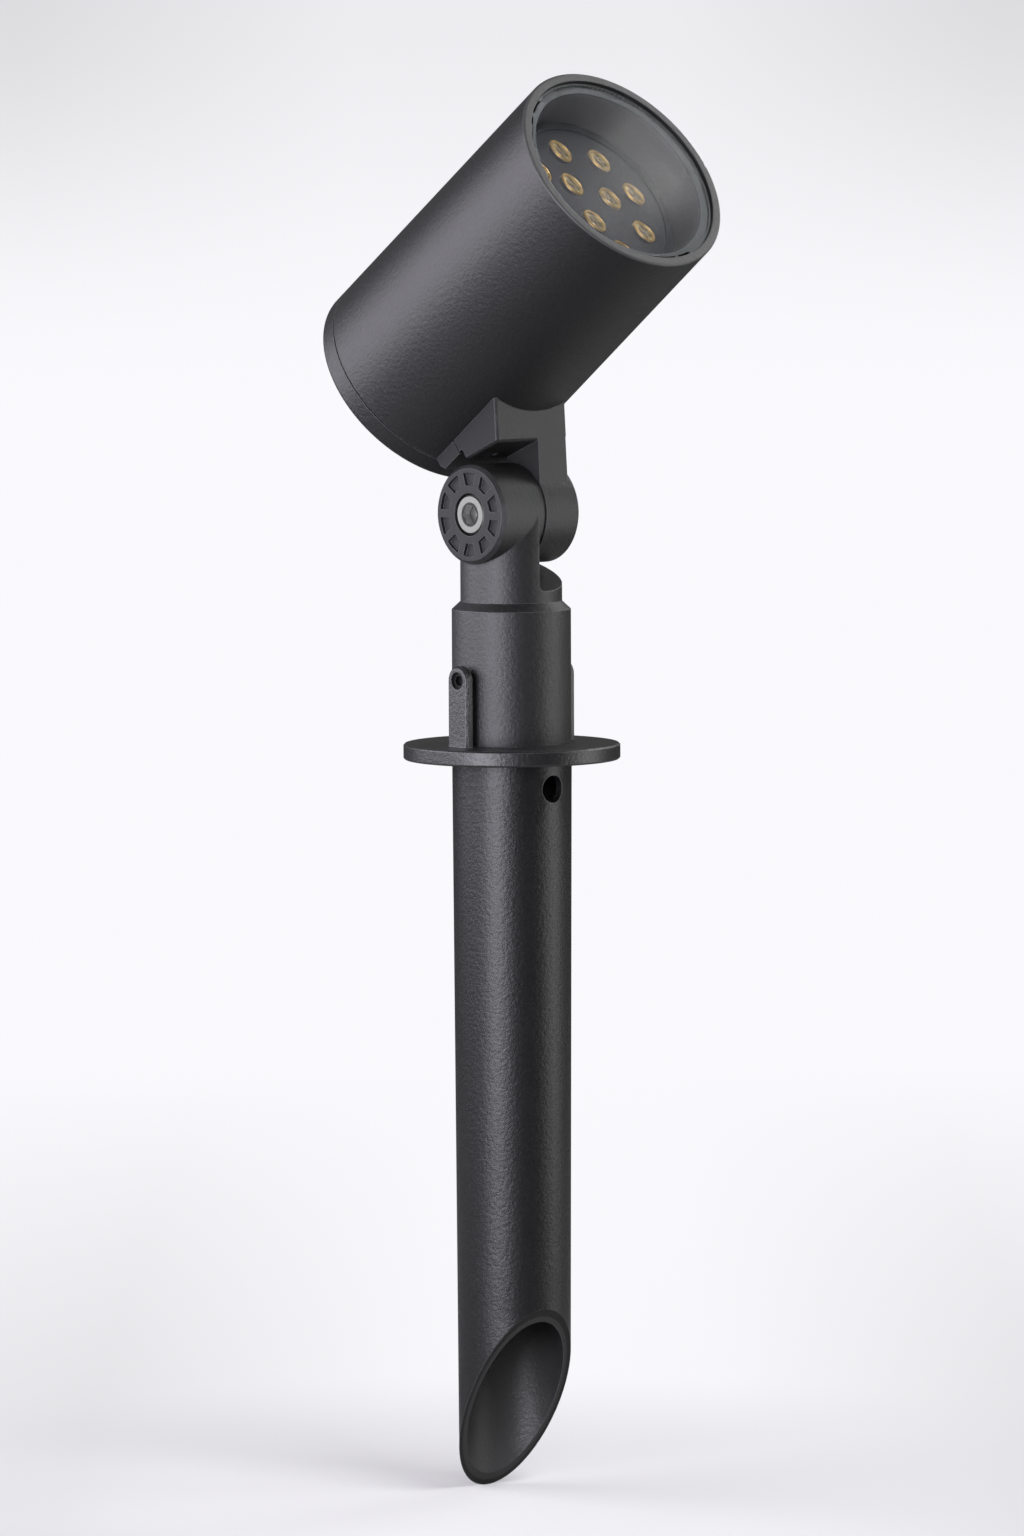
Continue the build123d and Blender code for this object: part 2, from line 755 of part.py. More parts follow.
# Rear cap: flange level with the barrel, spigot against the bosses, seal groove in its face
cap_face = cap_seam_along - seam_gap
cap_groove_floor = cap_seam_along - 2 * cap_seal_radius
cap_head_seat = head_rear + cap_head_recess + m4_head_height
with BuildPart() as rear_cap:
    with BuildSketch(head_side_plane()):
        with BuildLine():
            Polyline(
                *head_turned(
                    (
                        (0.0, head_rear),
                        (barrel_radius(head_rear), head_rear),
                        (barrel_radius(cap_face), cap_face),
                        (cap_seal_circle + cap_seal_radius, cap_face),
                        (cap_seal_circle + cap_seal_radius, cap_groove_floor),
                        (cap_seal_circle - cap_seal_radius, cap_groove_floor),
                        (cap_seal_circle - cap_seal_radius, cap_face),
                        (cap_spigot_radius, cap_face),
                        (cap_spigot_radius, cap_boss_along),
                        (cap_spigot_inner_radius, cap_boss_along),
                        (cap_spigot_inner_radius, cap_face),
                        (0.0, cap_face),
                    )
                ),
                close=True,
            )
        make_face()
    revolve(axis=head_axis)
    back_face = rear_cap.faces().sort_by(head_axis)[0]
    fillet(back_face.edges(), radius=cap_round)
    with BuildSketch(head_cross_plane(head_rear)):
        with PolarLocations(cap_screw_circle, cap_screw_count, cap_screw_angle):
            Circle(m4_clearance_radius)
    extrude(amount=cap_boss_along - head_rear, mode=Mode.SUBTRACT)
    with BuildSketch(head_cross_plane(head_rear)):
        with PolarLocations(cap_screw_circle, cap_screw_count, cap_screw_angle):
            Circle(m4_head_radius + drop_in_clearance)
    extrude(amount=cap_head_seat - head_rear, mode=Mode.SUBTRACT)
finish(rear_cap, "rear_cap")

with BuildPart() as rear_cap_seal:
    with BuildSketch(head_side_plane()):
        with Locations((head_axis_offset + cap_seal_circle, cap_seam_along - cap_seal_radius)):
            Circle(cap_seal_radius)
    revolve(axis=head_axis)
finish(rear_cap_seal, "rear_cap_seal")

with BuildPart() as rear_cap_screws:
    with BuildSketch(head_cross_plane(cap_head_seat)):
        with PolarLocations(cap_screw_circle, cap_screw_count, cap_screw_angle):
            Circle(m4_head_radius)
    extrude(amount=-m4_head_height)
    with BuildSketch(head_cross_plane(cap_head_seat)):
        with PolarLocations(cap_screw_circle, cap_screw_count, cap_screw_angle):
            Circle(m4_radius)
    extrude(amount=cap_boss_along + cap_screw_reach - cap_head_seat)
    with BuildSketch(head_cross_plane(cap_head_seat - m4_head_height)):
        with PolarLocations(cap_screw_circle, cap_screw_count, cap_screw_angle):
            RegularPolygon(hex_radius(m4_hex_flats), 6)
    extrude(amount=m4_head_height / 2, mode=Mode.SUBTRACT)
finish(rear_cap_screws, "rear_cap_screws")

# Front glass and its seal
glass_radius = glass_pocket_radius - seal_wall
with BuildPart() as front_glass:
    with BuildSketch(head_cross_plane(at_depth(glass_recess + glass_thickness))):
        Circle(glass_radius)
    extrude(amount=glass_thickness)
    chamfer(front_glass.faces().sort_by(head_axis)[-1].edges(), length=edge_break)
finish(front_glass, "front_glass")

with BuildPart() as glass_seal:
    with BuildSketch(head_cross_plane(ledge_along)):
        Circle(glass_pocket_radius)
        Circle(cavity_radius, mode=Mode.SUBTRACT)
    extrude(amount=seal_thickness)
    with BuildSketch(head_cross_plane(ledge_along + seal_thickness)):
        Circle(glass_pocket_radius)
        Circle(glass_radius, mode=Mode.SUBTRACT)
    extrude(amount=glass_thickness - edge_break)
finish(glass_seal, "glass_seal")

# Lens plate: cover over the board with a raised band, a skirt down to the board and a hole for each lens
plate_radius = cavity_radius - drop_in_clearance
plate_top = at_depth(plate_depth)
board_top = at_depth(board_depth)


def lens_places():
    """Centres of the lenses on a plane square to the aim: an outer ring and an inner ring."""
    rings = (
        (outer_lens_circle, outer_lens_count, outer_lens_angle),
        (inner_lens_circle, inner_lens_count, inner_lens_angle),
    )
    places = []
    for circle, count, first in rings:
        for number in range(count):
            angle = radians(first + 360.0 * number / count)
            places.append((circle * cos(angle), circle * sin(angle)))
    return places


with BuildPart() as lens_plate:
    with BuildSketch(head_side_plane()):
        with BuildLine():
            Polyline(
                *head_turned(
                    (
                        (0.0, plate_top),
                        (plate_radius - plate_band_width, plate_top),
                        (plate_radius - plate_band_width, plate_top + plate_band_height),
                        (plate_radius, plate_top + plate_band_height),
                        (plate_radius, board_top),
                        (plate_radius - plate_skirt_wall, board_top),
                        (plate_radius - plate_skirt_wall, plate_top - plate_thickness),
                        (0.0, plate_top - plate_thickness),
                    )
                ),
                close=True,
            )
        make_face()
    revolve(axis=head_axis)
    with BuildSketch(head_cross_plane(plate_top)):
        with Locations(*lens_places()):
            Circle(lens_radius + drop_in_clearance)
    extrude(amount=-plate_thickness, mode=Mode.SUBTRACT)
finish(lens_plate, "lens_plate")

# LED lenses: round body on the board with a low dome, hollow over the emitter
lens_shoulder_along = plate_top + lens_shoulder
lens_dome_radius = (lens_radius**2 + lens_dome_height**2) / (2 * lens_dome_height)
with BuildPart() as led_lenses:
    for across, away_shift in lens_places():
        lens_centre = head_point(0.0, head_axis_offset + away_shift, across)
        with BuildSketch(Plane(origin=lens_centre, x_dir=away, z_dir=(0, 1, 0))):
            with BuildLine():
                Polyline(
                    (0, lens_shoulder_along + lens_dome_height),
                    (0, board_top + lens_pocket_depth),
                    (lens_pocket_radius, board_top + lens_pocket_depth),
                    (lens_pocket_radius, board_top),
                    (lens_radius, board_top),
                    (lens_radius, lens_shoulder_along),
                )
                RadiusArc(
                    (0, lens_shoulder_along + lens_dome_height),
                    (lens_radius, lens_shoulder_along),
                    lens_dome_radius,
                )
            make_face()
        revolve(axis=Axis(lens_centre, aim))
finish(led_lenses, "led_lenses")

# LED board, its emitters and its screws
with BuildPart() as led_board:
    with BuildSketch(head_cross_plane(bulkhead_front)):
        Circle(plate_radius)
        with PolarLocations(board_screw_circle, board_screw_count, board_screw_angle):
            Circle(m3_clearance_radius, mode=Mode.SUBTRACT)
    extrude(amount=board_thickness)
finish(led_board, "led_board")

with BuildPart() as led_chips:
    with BuildSketch(head_cross_plane(board_top)):
        with Locations(*lens_places()):
            Rectangle(chip_width, chip_width)
    extrude(amount=chip_height)
    with BuildSketch(head_cross_plane(board_top + chip_height)):
        with Locations(*lens_places()):
            Circle(chip_dome_radius)
    extrude(amount=chip_dome_radius / 2)
finish(led_chips, "led_chips")

with BuildPart() as board_screws:
    with BuildSketch(head_cross_plane(board_top)):
        with PolarLocations(board_screw_circle, board_screw_count, board_screw_angle):
            Circle(m3_head_radius)
    extrude(amount=m3_head_height)
    with BuildSketch(head_cross_plane(board_top)):
        with PolarLocations(board_screw_circle, board_screw_count, board_screw_angle):
            Circle(m3_radius)
    extrude(amount=-(board_thickness + bulkhead_thickness - edge_break))
finish(board_screws, "board_screws")

# Driver: board on standoffs behind the bulkhead, with its main components
driver_front = bulkhead_rear - standoff_length
driver_rear = driver_front - driver_thickness
with BuildPart() as driver_standoffs:
    with BuildSketch(head_cross_plane(bulkhead_rear)):
        with PolarLocations(standoff_circle, standoff_count, standoff_angle):
            RegularPolygon(hex_radius(standoff_flats), 6)
    extrude(amount=-standoff_length)
    with BuildSketch(head_cross_plane(driver_front)):
        with PolarLocations(standoff_circle, standoff_count, standoff_angle):
            Circle(m3_radius)
    extrude(amount=driver_screw_reach + edge_break, mode=Mode.SUBTRACT)
finish(driver_standoffs, "driver_standoffs")

with BuildPart() as driver_board:
    with BuildSketch(head_cross_plane(driver_rear)):
        Circle(driver_radius)
        with PolarLocations(standoff_circle, standoff_count, standoff_angle):
            Circle(m3_clearance_radius, mode=Mode.SUBTRACT)
    extrude(amount=driver_thickness)
finish(driver_board, "driver_board")

with BuildPart() as driver_screws:
    with BuildSketch(head_cross_plane(driver_rear)):
        with PolarLocations(standoff_circle, standoff_count, standoff_angle):
            Circle(m3_head_radius)
    extrude(amount=-m3_head_height)
    with BuildSketch(head_cross_plane(driver_rear)):
        with PolarLocations(standoff_circle, standoff_count, standoff_angle):
            Circle(m3_radius)
    extrude(amount=driver_thickness + driver_screw_reach)
finish(driver_screws, "driver_screws")

with BuildPart() as driver_coil:
    with BuildSketch(head_cross_plane(driver_rear)):
        with Locations(coil_place):
            Circle(coil_radius)
    extrude(amount=-coil_height)
    chamfer(driver_coil.faces().sort_by(head_axis)[0].edges(), length=edge_break)
finish(driver_coil, "driver_coil")

with BuildPart() as driver_capacitor:
    with BuildSketch(head_cross_plane(driver_rear)):
        with Locations(capacitor_place):
            Circle(capacitor_radius)
    extrude(amount=-capacitor_height)
    chamfer(driver_capacitor.faces().sort_by(head_axis)[0].edges(), length=edge_break)
finish(driver_capacitor, "driver_capacitor")

with BuildPart() as driver_terminal:
    with BuildSketch(head_cross_plane(driver_rear)):
        with Locations(terminal_place):
            Rectangle(terminal_size[0], terminal_size[1])
    extrude(amount=-terminal_size[2])
    with BuildSketch(head_cross_plane(driver_rear - terminal_size[2])):
        with Locations(terminal_place):
            with GridLocations(terminal_size[0] / 2, 0, 2, 1):
                Circle(m4_radius)
    extrude(amount=terminal_size[2] / 2, mode=Mode.SUBTRACT)
finish(driver_terminal, "driver_terminal")

# LED leads: two short wires from the LED board through the bulkhead to the driver
with BuildPart() as led_leads:
    with BuildSketch(head_cross_plane(driver_front)):
        with Locations(lead_place):
            with GridLocations(0, lead_pitch, 1, 2):
                Circle(lead_radius)
    extrude(amount=bulkhead_front - driver_front)
finish(led_leads, "led_leads")
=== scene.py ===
# %% [markdown]
# # A landscape spotlight on a ground spike
#
# The real light is a handful of aluminium castings in one fine-textured anthracite powder coat: a hollow
# spike with a slanted tip, a round ground flange, a stem that turns, a knuckle that tilts and a round head
# with a recessed glass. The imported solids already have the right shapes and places, so this lesson dresses
# them. It sets up the camera and a soft studio, mixes one finish for each material, and builds the amber
# lenses anew, because they need finer surfaces than a solid has.

import json
import math

import bpy
import numpy as np
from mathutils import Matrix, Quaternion, Vector


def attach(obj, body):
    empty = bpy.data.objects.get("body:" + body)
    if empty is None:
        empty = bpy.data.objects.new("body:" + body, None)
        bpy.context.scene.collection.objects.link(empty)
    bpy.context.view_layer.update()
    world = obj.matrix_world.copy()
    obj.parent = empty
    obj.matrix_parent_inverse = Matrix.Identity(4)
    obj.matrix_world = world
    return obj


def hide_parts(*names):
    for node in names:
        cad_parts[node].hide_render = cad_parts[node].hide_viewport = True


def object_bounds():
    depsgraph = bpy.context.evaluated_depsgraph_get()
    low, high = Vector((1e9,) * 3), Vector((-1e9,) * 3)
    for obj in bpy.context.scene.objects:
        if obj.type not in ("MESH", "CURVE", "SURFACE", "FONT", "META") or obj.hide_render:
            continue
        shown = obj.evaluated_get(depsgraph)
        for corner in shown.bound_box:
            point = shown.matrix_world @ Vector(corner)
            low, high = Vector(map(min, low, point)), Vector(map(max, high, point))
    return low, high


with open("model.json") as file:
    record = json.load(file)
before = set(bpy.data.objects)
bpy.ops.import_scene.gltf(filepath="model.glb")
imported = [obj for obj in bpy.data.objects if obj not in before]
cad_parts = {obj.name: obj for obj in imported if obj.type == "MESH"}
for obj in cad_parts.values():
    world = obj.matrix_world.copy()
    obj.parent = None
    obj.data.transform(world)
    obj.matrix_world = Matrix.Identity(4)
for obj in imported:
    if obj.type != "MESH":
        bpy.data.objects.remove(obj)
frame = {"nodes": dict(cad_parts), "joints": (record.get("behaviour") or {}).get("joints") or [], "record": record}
nodes = frame["nodes"]
cad_low, cad_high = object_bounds()
print("nodes:", len(nodes), "box of the solids in metres:", tuple(cad_low), tuple(cad_high))

# %% [markdown]
# ## Where the head is
#
# Almost everything on the head is round about the head's own axis, so lenses and finishes are easiest to
# describe along that axis and away from it. The tilt joint gives the pivot, and three lengths do the rest.

# %% The head's own axes
aim_elevation = 36.7
head_axis_offset = 0.0572
rim_along = 0.1072

pivot = next(Vector(joint["pos_m"]) for joint in frame["joints"] if joint["name"] == "head_tilt")
aim_rise = math.radians(aim_elevation)
aim = Vector((math.cos(aim_rise), 0.0, math.sin(aim_rise)))
away = Vector((-math.sin(aim_rise), 0.0, math.cos(aim_rise)))
across = Vector((0.0, 1.0, 0.0))
head_centre = pivot + head_axis_offset * away
rim_centre = head_centre + rim_along * aim
print("centre of the rim at", tuple(round(value, 4) for value in rim_centre))

# %% [markdown]
# ## Camera
#
# The photograph looks at the light from a little above, with a long lens, so its upright edges stay almost
# parallel. A camera can be placed by eye, but a long lens shows every degree of error. Here the direction,
# the distance and the lens come from the sizes of the rim, the flange and the spike, and the camera then
# looks straight along that line.

# %% Camera at the photograph's angle
photo_azimuth = 46.5
photo_elevation = 5.0
photo_distance = 2.566
photo_lens = 187.5
photo_roll = -0.25
sensor_long_side = 36.0
aim_up = -0.0031
camera_reach = 100.0


def direction_at(azimuth, elevation):
    """Unit vector at an azimuth, counted from -Y towards +X, and an elevation, both in degrees."""
    turn = math.radians(azimuth)
    rise = math.radians(elevation)
    return Vector((math.sin(turn) * math.cos(rise), -math.cos(turn) * math.cos(rise), math.sin(rise)))


to_camera = direction_at(photo_azimuth, photo_elevation)
camera_right = direction_at(photo_azimuth + 90.0, 0.0)
camera_up = to_camera.cross(camera_right)
camera_data = bpy.data.cameras.new("photo_camera")
camera_data.lens = photo_lens
camera_data.sensor_width = sensor_long_side
camera_data.clip_end = camera_reach
camera = bpy.data.objects.new("photo_camera", camera_data)
camera.location = aim_up * camera_up + photo_distance * to_camera
camera.rotation_mode = "QUATERNION"
level_turn = (-to_camera).to_track_quat("-Z", "Y")
camera.rotation_quaternion = Quaternion(to_camera, math.radians(photo_roll)) @ level_turn
bpy.context.scene.collection.objects.link(camera)
bpy.context.scene.camera = camera
print("camera at", tuple(round(value, 3) for value in camera.location))

# %% [markdown]
# ## Node trees in few words
#
# Every finish below is a small tree of shader nodes. A helper that adds a node, sets its values and joins
# its inputs keeps each recipe down to the lines that matter, so that a finish reads like a list of what is
# in it.

# %% Helpers for node trees
half = 0.5


def add_node(tree, kind, settings=None, **inputs):
    """Add a node, set its properties, then set or link its inputs, by name or as in0, in1 by their order."""
    node = tree.nodes.new(kind)
    for name, value in (settings or {}).items():
        setattr(node, name, value)
    for name, value in inputs.items():
        if name[:2] == "in" and name[2:].isdigit():
            socket = node.inputs[int(name[2:])]
        else:
            words = name.replace("_", " ")
            socket = next(item for item in node.inputs if item.name.lower() == words.lower())
        if isinstance(value, bpy.types.NodeSocket):
            tree.links.new(value, socket)
        else:
            socket.default_value = value
    return node


def math_node(tree, operation, first, second):
    """One arithmetic step on two numbers."""
    return add_node(tree, "ShaderNodeMath", {"operation": operation}, in0=first, in1=second).outputs[0]


def vector_node(tree, operation, first, second, result="Vector"):
    """One step on two vectors, with a vector or a number as its result."""
    node = add_node(tree, "ShaderNodeVectorMath", {"operation": operation}, in0=first, in1=second)
    return node.outputs[result]


def spread(tree, value, low, high, to_low=0.0, to_high=1.0, smooth=False):
    """Stretch the range from low to high to the range from to_low to to_high."""
    kind = "SMOOTHSTEP" if smooth else "LINEAR"
    return add_node(
        tree, "ShaderNodeMapRange", {"interpolation_type": kind}, value=value,
        from_min=low, from_max=high, to_min=to_low, to_max=to_high,
    ).outputs["Result"]


def ramp(tree, factor, stops):
    """Colour ramp: pairs of place and colour."""
    node = add_node(tree, "ShaderNodeValToRGB", fac=factor)
    elements = node.color_ramp.elements
    while len(elements) < len(stops):
        elements.new(half)
    for element, (place, colour) in zip(elements, stops):
        element.position = place
        element.color = (*colour, 1.0)
    return node.outputs["Color"]


def blend(tree, factor, first, second):
    """Mix of two colours, each a socket or three numbers."""
    sides = [side if isinstance(side, bpy.types.NodeSocket) else (*side, 1.0) for side in (first, second)]
    node = add_node(tree, "ShaderNodeMix", {"data_type": "RGBA"}, in0=factor, in6=sides[0], in7=sides[1])
    return node.outputs[2]


def noise(tree, vector, scale, detail=2.0, roughness=0.5):
    """Fractal noise, its scale in waves per metre."""
    return add_node(
        tree, "ShaderNodeTexNoise", vector=vector, scale=scale, detail=detail, roughness=roughness
    ).outputs["Fac"]


def bumps(tree, height, strength, depth, normal=None):
    """Normal that leans with a height, which stands up to a depth in metres."""
    node = add_node(tree, "ShaderNodeBump", strength=strength, distance=depth, height=height)
    if normal:
        tree.links.new(normal, node.inputs["Normal"])
    return node.outputs["Normal"]


def axis_reach(tree, place, centre, direction):
    """Distance of a place from an axis."""
    offset = vector_node(tree, "SUBTRACT", place, tuple(centre))
    sideways = vector_node(tree, "CROSS_PRODUCT", offset, tuple(direction))
    return add_node(tree, "ShaderNodeVectorMath", {"operation": "LENGTH"}, in0=sideways).outputs["Value"]


def mixed_shader(tree, factor, first, second):
    """Mix of two shaders."""
    return add_node(tree, "ShaderNodeMixShader", in0=factor, in1=first, in2=second).outputs[0]


def new_finish(name):
    """Empty node material: returns the material, its tree and Object coordinates."""
    material = bpy.data.materials.new(name)
    material.use_nodes = True
    tree = material.node_tree
    tree.nodes.clear()
    place = tree.nodes.new("ShaderNodeTexCoord").outputs["Object"]
    return material, tree, place


def show(tree, shader, kind="ShaderNodeOutputMaterial"):
    """Join a shader to the output of its tree."""
    output = tree.nodes.new(kind)
    tree.links.new(shader, output.inputs["Surface"])


print("helpers ready")

# %% [markdown]
# ## Surfaces from arrays
#
# A turned piece is a profile that goes round an axis. Writing the round as one array operation keeps the
# formula in sight, and the same function serves the floor, which is a profile without height.

# %% Helpers for surfaces


def turned_grid(radius, height, sides):
    """Radius times cosine and sine of an even turn, at a height, for each row and side."""
    turn = np.linspace(0.0, 2.0 * np.pi, sides, endpoint=False)
    radius, turn = np.broadcast_arrays(np.asarray(radius)[:, None], turn)
    height = np.broadcast_to(height, radius.shape)
    return np.stack([radius * np.cos(turn), radius * np.sin(turn), height], axis=-1)


def ring_faces(rows, sides):
    """Quads between neighbouring rows of a turned grid, the last side joined to the first."""
    row = np.arange(rows - 1)[:, None] * sides
    side = np.arange(sides)[None, :]
    after = (side + 1) % sides
    corners = [row + side, row + after, row + sides + after, row + sides + side]
    return np.stack(corners, axis=-1).reshape(-1, 4)


def mesh_from_arrays(name, points, faces):
    """Smooth mesh object at the origin from an array of points and an array of faces."""
    mesh = bpy.data.meshes.new(name)
    mesh.from_pydata(points.reshape(-1, 3), [], faces.tolist())
    mesh.polygons.foreach_set("use_smooth", np.ones(len(mesh.polygons), bool))
    mesh.update()
    made = bpy.data.objects.new(name, mesh)
    bpy.context.scene.collection.objects.link(made)
    return made


print("surfaces ready")

# %% [markdown]
# ## Studio
#
# The photograph has no horizon: floor and background are one pale surface. It has a faint shadow at the
# spike's tip, and near the light it darkens a little to both sides. A curved paper backdrop would do that,
# but it would hide the light from a camera that walks round it. Instead a wide disc fades into a white
# surround.

# %% Floor
floor_radius = 9.0
floor_hole = 0.0005
floor_rings = 24
floor_sides = 96

floor_steps = np.geomspace(floor_hole, floor_radius, floor_rings)
floor_points = turned_grid(floor_steps, cad_low.z, floor_sides)
floor = mesh_from_arrays("studio_floor", floor_points, ring_faces(floor_rings, floor_sides))
floor.data.flip_normals()
print("floor at", round(cad_low.z, 4))

# %% [markdown]
# The middle of the disc is partly a lit surface, so that it keeps the shadow, and a ramp paints a shade into
# its tone that darkens it a little to the sides. To any ray that has met the light it is only a dim grey, so
# that a white background doesn't brighten the underside of the head.

# %% Floor finish
floor_fade_start = 0.06
floor_fade_end = 0.25
floor_white = (0.955, 0.95, 0.98)
floor_tone_near = 0.0
floor_tone_far = -1.1
floor_tone_front = (0.55, 0.12)
floor_tone_shift = 0.02
floor_tone_reach = 0.5
# Painted shade: the floor's tone darkens a little to the sides
floor_shade_tones = (
    (0.0, (0.945, 0.935, 0.965)),
    (0.1, (0.93, 0.92, 0.95)),
    (0.33, (0.74, 0.735, 0.76)),
    (1.0, floor_white),
)
floor_lit_share = 0.8
floor_lit_colour = (0.82, 0.815, 0.83, 1.0)
floor_bounce_front = (0.07, 0.07, 0.07)
floor_bounce_back = (0.36, 0.36, 0.36)
floor_bounce_reach = 0.3
stem_foot = (0.0, 0.0, 0.0)
upwards = (0.0, 0.0, 1.0)


def seen_ray(tree):
    """One for a ray that left the camera and met nothing but glass since, and zero for any other ray."""
    path = tree.nodes.new("ShaderNodeLightPath").outputs
    bounces = math_node(tree, "ADD", path["Diffuse Depth"], path["Glossy Depth"])
    unbroken = math_node(tree, "LESS_THAN", bounces, half)
    through_glass = math_node(tree, "MULTIPLY", path["Is Transmission Ray"], unbroken)
    return math_node(tree, "MAXIMUM", path["Is Camera Ray"], through_glass)


floor_finish, tree, place = new_finish("studio_floor")
reach = axis_reach(tree, place, stem_foot, upwards)
fade = spread(tree, reach, floor_fade_start, floor_fade_end, smooth=True)
white_share = spread(tree, fade, 0.0, 1.0, 1.0 - floor_lit_share, 1.0)
nearness = vector_node(tree, "DOT_PRODUCT", place, tuple(to_camera), "Value")
sideways = vector_node(tree, "DOT_PRODUCT", place, tuple(camera_right), "Value")
sideways = math_node(tree, "ABSOLUTE", math_node(tree, "SUBTRACT", sideways, floor_tone_shift), 0.0)
near_tone = ramp(tree, spread(tree, sideways, 0.0, floor_tone_reach), floor_shade_tones)
near_share = spread(tree, nearness, floor_tone_far, floor_tone_near)
near_share = math_node(tree, "MULTIPLY", near_share, spread(tree, nearness, *floor_tone_front))
tone = blend(tree, near_share, floor_white, near_tone)
lit = add_node(tree, "ShaderNodeBsdfDiffuse", color=floor_lit_colour).outputs[0]
white = add_node(tree, "ShaderNodeEmission", color=tone, strength=1.0).outputs[0]
front_share = spread(tree, nearness, -floor_bounce_reach, floor_bounce_reach)
bounce = ramp(tree, front_share, ((0.0, floor_bounce_back), (1.0, floor_bounce_front)))
dim = add_node(tree, "ShaderNodeBsdfDiffuse", color=bounce).outputs[0]
show(tree, mixed_shader(tree, seen_ray(tree), dim, mixed_shader(tree, white_share, lit, white)))
floor.data.materials.append(floor_finish)
print("floor finish ready")

# %% [markdown]
# The surround is a world with two faces. A camera sees pale paper, with painted shade that darkens it a little
# towards the top and its corners. Reflections see the studio as it would be: pale behind the light and dark on
# the camera's side, which is what keeps the dark bands on the round tubes. Scattered light gets a weak even
# fill.

# %% World
surround_fill = 0.05
surround_back = 0.15
surround_front = 0.02
surround_turn = 0.1
paper_low = -0.04
paper_high = 0.014
paper_top_middle = 0.88
paper_top_corner = 0.75
paper_side_start = 0.02
paper_side_end = 0.06
plain_white = (1.0, 1.0, 1.0, 1.0)

world = bpy.data.worlds.new("studio")
bpy.context.scene.world = world
world.use_nodes = True
tree = world.node_tree
tree.nodes.clear()
towards = tree.nodes.new("ShaderNodeTexCoord").outputs["Generated"]
glossy_ray = tree.nodes.new("ShaderNodeLightPath").outputs["Is Glossy Ray"]
facing = vector_node(tree, "DOT_PRODUCT", towards, tuple(to_camera), "Value")
studio_level = spread(tree, facing, -1.0, surround_turn, surround_back, surround_front, smooth=True)
rise = add_node(tree, "ShaderNodeSeparateXYZ", vector=towards).outputs["Z"]
beside = vector_node(tree, "DOT_PRODUCT", towards, tuple(camera_right), "Value")
beside = math_node(tree, "ABSOLUTE", beside, 0.0)
paper_top = spread(tree, beside, paper_side_start, paper_side_end, paper_top_middle, paper_top_corner)
# Painted shade: the paper darkens towards the top and its corners
paper_level = spread(tree, rise, paper_low, paper_high, 1.0, paper_top, smooth=True)
fill = add_node(tree, "ShaderNodeBackground", color=plain_white, strength=surround_fill).outputs[0]
studio = add_node(tree, "ShaderNodeBackground", color=plain_white, strength=studio_level).outputs[0]
paper = add_node(tree, "ShaderNodeBackground", color=(*floor_white, 1.0), strength=paper_level).outputs[0]
room = mixed_shader(tree, glossy_ray, fill, studio)
show(tree, mixed_shader(tree, seen_ray(tree), room, paper), "ShaderNodeOutputWorld")
bpy.context.scene.view_settings.view_transform = "Standard"
print("surround ready")

# %% [markdown]
# ## Lamps
#
# Each band of light on the spike is the reflection of one lamp, so the bands say where the lamps stood: a
# cool soft box to the left of the camera, another far round to the left that lights the head, and a narrow
# upright one on the right. A high one behind on the right shows as a haze on the glass. Two more are kept
# from being mirrored, as a polarising filter does: a fill close to the line of sight, which reaches into
# the cavity, and a key high on the right front, which casts the shadow to the left and back. Each lamp is
# set by how bright its face looks, because that is what a reflection shows, and its power follows from its
# area.

# %% Lamps
cool = (0.99, 0.965, 1.07)
neutral = (1.0, 1.0, 1.0)
# Turn, distance, bottom, top, width, brightness and colour, as add_lamp takes them
lamp_setup = {
    "front_soft_box": (-31.0, 0.9, -0.236, 0.22, 0.5, 6.2, cool),
    "left_soft_box": (-86.0, 0.65, -0.02, 0.55, 0.8, 2.8, cool),
    "right_soft_box": (85.0, 0.55, -0.235, 0.36, 0.27, 1.85, neutral),
    "fill_soft_box": (3.0, 1.2, 0.1, 0.6, 0.5, 8.0, neutral),
    "key_soft_box": (40.0, 0.98, 1.05, 1.75, 0.7, 18.0, neutral),
    "rear_soft_box": (130.0, 1.5, 0.6, 1.6, 0.8, 3.0, neutral),
}
filtered_lamps = ("fill_soft_box", "key_soft_box")


def add_lamp(name, turn, distance, bottom, top, width, brightness, colour):
    """Upright soft box that faces the stem. Its turn is counted from the camera's side, its ends are heights
    above the flange, and its brightness is that of its face."""
    data = bpy.data.lights.new(name, "AREA")
    data.shape = "RECTANGLE"
    data.size = width
    data.size_y = top - bottom
    data.energy = brightness * math.pi * data.size * data.size_y
    data.color = colour
    lamp = bpy.data.objects.new(name, data)
    outwards = direction_at(photo_azimuth + turn, 0.0)
    lamp.location = distance * outwards + Vector((0.0, 0.0, (bottom + top) / 2.0))
    lamp.rotation_mode = "QUATERNION"
    lamp.rotation_quaternion = (-outwards).to_track_quat("-Z", "Y")
    lamp.visible_camera = False
    lamp.visible_glossy = name not in filtered_lamps
    bpy.context.scene.collection.objects.link(lamp)


for name, setup in lamp_setup.items():
    add_lamp(name, *setup)
print("lamps:", ", ".join(lamp_setup))

# %% [markdown]
# The glass in the photograph has a soft pale spot, in which one of the lenses fades. That is a small lamp
# seen in the glass. A mirror sends the line of sight off at the angle it came in, so the spot itself says
# where the lamp was.

# %% Lamp that is seen in the glass
spot_across = 0.008
spot_away = -0.001
spot_depth = 0.003
spot_lamp_distance = 1.5
spot_lamp_size = 0.05
spot_lamp_brightness = 24.0

